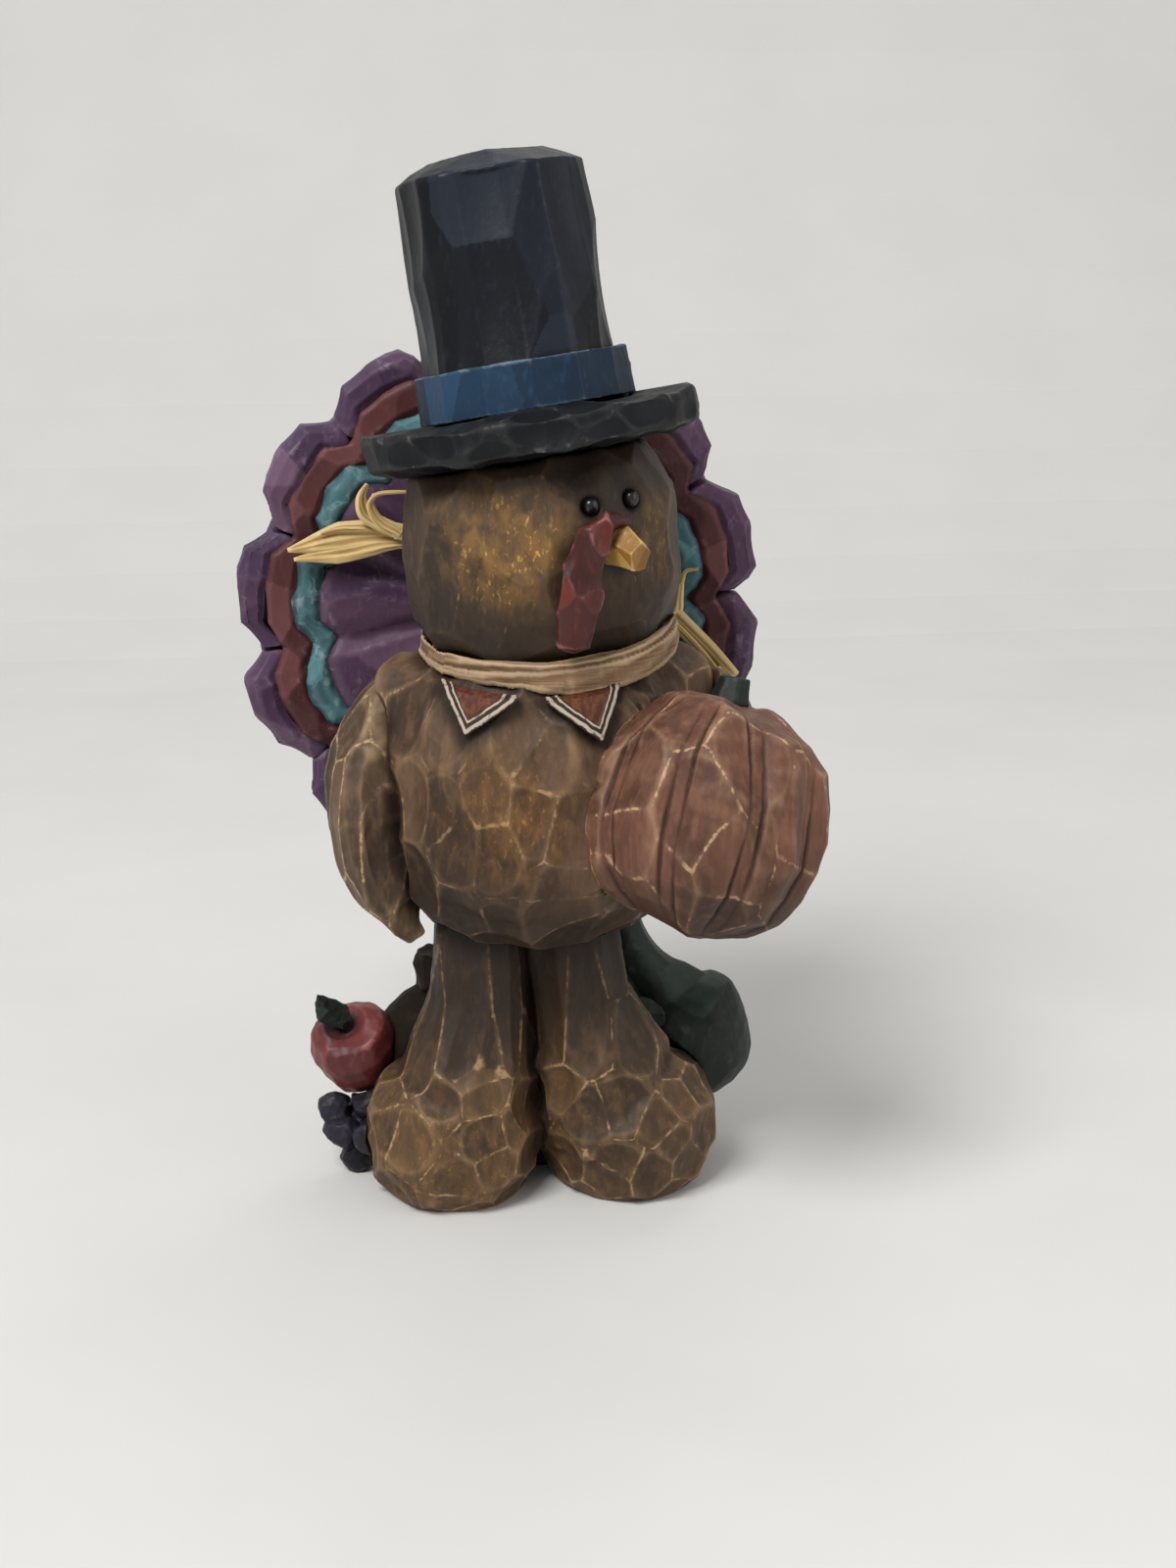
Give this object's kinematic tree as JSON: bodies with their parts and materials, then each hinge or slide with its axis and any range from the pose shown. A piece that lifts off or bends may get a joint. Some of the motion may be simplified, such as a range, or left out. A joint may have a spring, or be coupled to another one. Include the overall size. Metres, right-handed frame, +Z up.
{
  "type": "thanksgiving turkey figure",
  "caption": "Free-standing carved-look turkey figure in a tall brimmed hat, with a fanned tail, a raffia neck tie, a pumpkin under one wing and harvest fruit behind its feet.",
  "frame": {"origin": "on the ground, under the middle of the figure's bounding box", "axes": "+Z up, the figure looks along -Y, +X to its own left (the side of the pumpkin)"},
  "size_m": [0.112, 0.0938, 0.2106],
  "materials": {
    "carved_brown": "cast resin carved like wood, brown with a dark wash and gold edges, satin",
    "foot_brown": "cast resin carved like wood, tan-brown with gold edges, satin",
    "hat_black": "cast resin painted black, satin",
    "band_blue": "cast resin painted dark blue, satin",
    "bead_black": "glossy black bead",
    "snood_red": "cast resin painted dark red, satin",
    "beak_yellow": "cast resin painted golden yellow, satin",
    "collar_rust": "cast resin painted rust brown with white lines, satin",
    "raffia": "dried raffia strip, creased, low sheen",
    "pumpkin_brown": "cast resin painted red-brown with tan edges, satin",
    "leaf_green": "cast resin painted dark green, satin",
    "tail_purple": "cast resin painted dull purple, satin",
    "tail_maroon": "cast resin painted maroon, satin",
    "tail_teal": "cast resin painted teal with light edges, satin",
    "apple_red": "cast resin painted red, satin",
    "grape_purple": "cast resin painted blue-black, satin",
    "gourd_olive": "cast resin painted olive, satin",
    "dark_husk": "cast resin painted dark brown, matt"
  },
  "bodies": {
    "root": {"body": "carved_brown", "leg_right": "foot_brown", "leg_left": "foot_brown", "head": "carved_brown", "eye_right": "bead_black", "eye_left": "bead_black", "snood": "snood_red", "beak": "beak_yellow", "hat_brim": "hat_black", "hat_crown": "hat_black", "hat_band": "band_blue", "neck_tie": "raffia", "raffia_knot": "raffia", "raffia_tail_right": "raffia", "raffia_curl_right": "raffia", "raffia_tail_left": "raffia", "raffia_sprig_left": "raffia", "collar_right": "collar_rust", "collar_left": "collar_rust", "pumpkin": "pumpkin_brown", "pumpkin_stem": "leaf_green", "wing_right": "carved_brown", "wing_left": "carved_brown", "tail_core": "tail_purple", "tail_teal_band": "tail_teal", "tail_maroon_band": "tail_maroon", "harvest_pile": "dark_husk", "gourd": "gourd_olive", "gourd_stalk": "dark_husk", "apple": "apple_red", "apple_leaf": "leaf_green", "grapes": "grape_purple", "squash": "leaf_green", "squash_leaf": "leaf_green", "tail_feather_01": "tail_purple", "tail_feather_02": "tail_purple", "tail_feather_03": "tail_purple", "tail_feather_04": "tail_purple", "tail_feather_05": "tail_purple", "tail_feather_06": "tail_purple", "tail_feather_07": "tail_purple", "tail_feather_08": "tail_purple", "tail_feather_09": "tail_purple", "tail_feather_10": "tail_purple", "tail_feather_11": "tail_purple", "tail_feather_12": "tail_purple"}
  },
  "joints": []
}
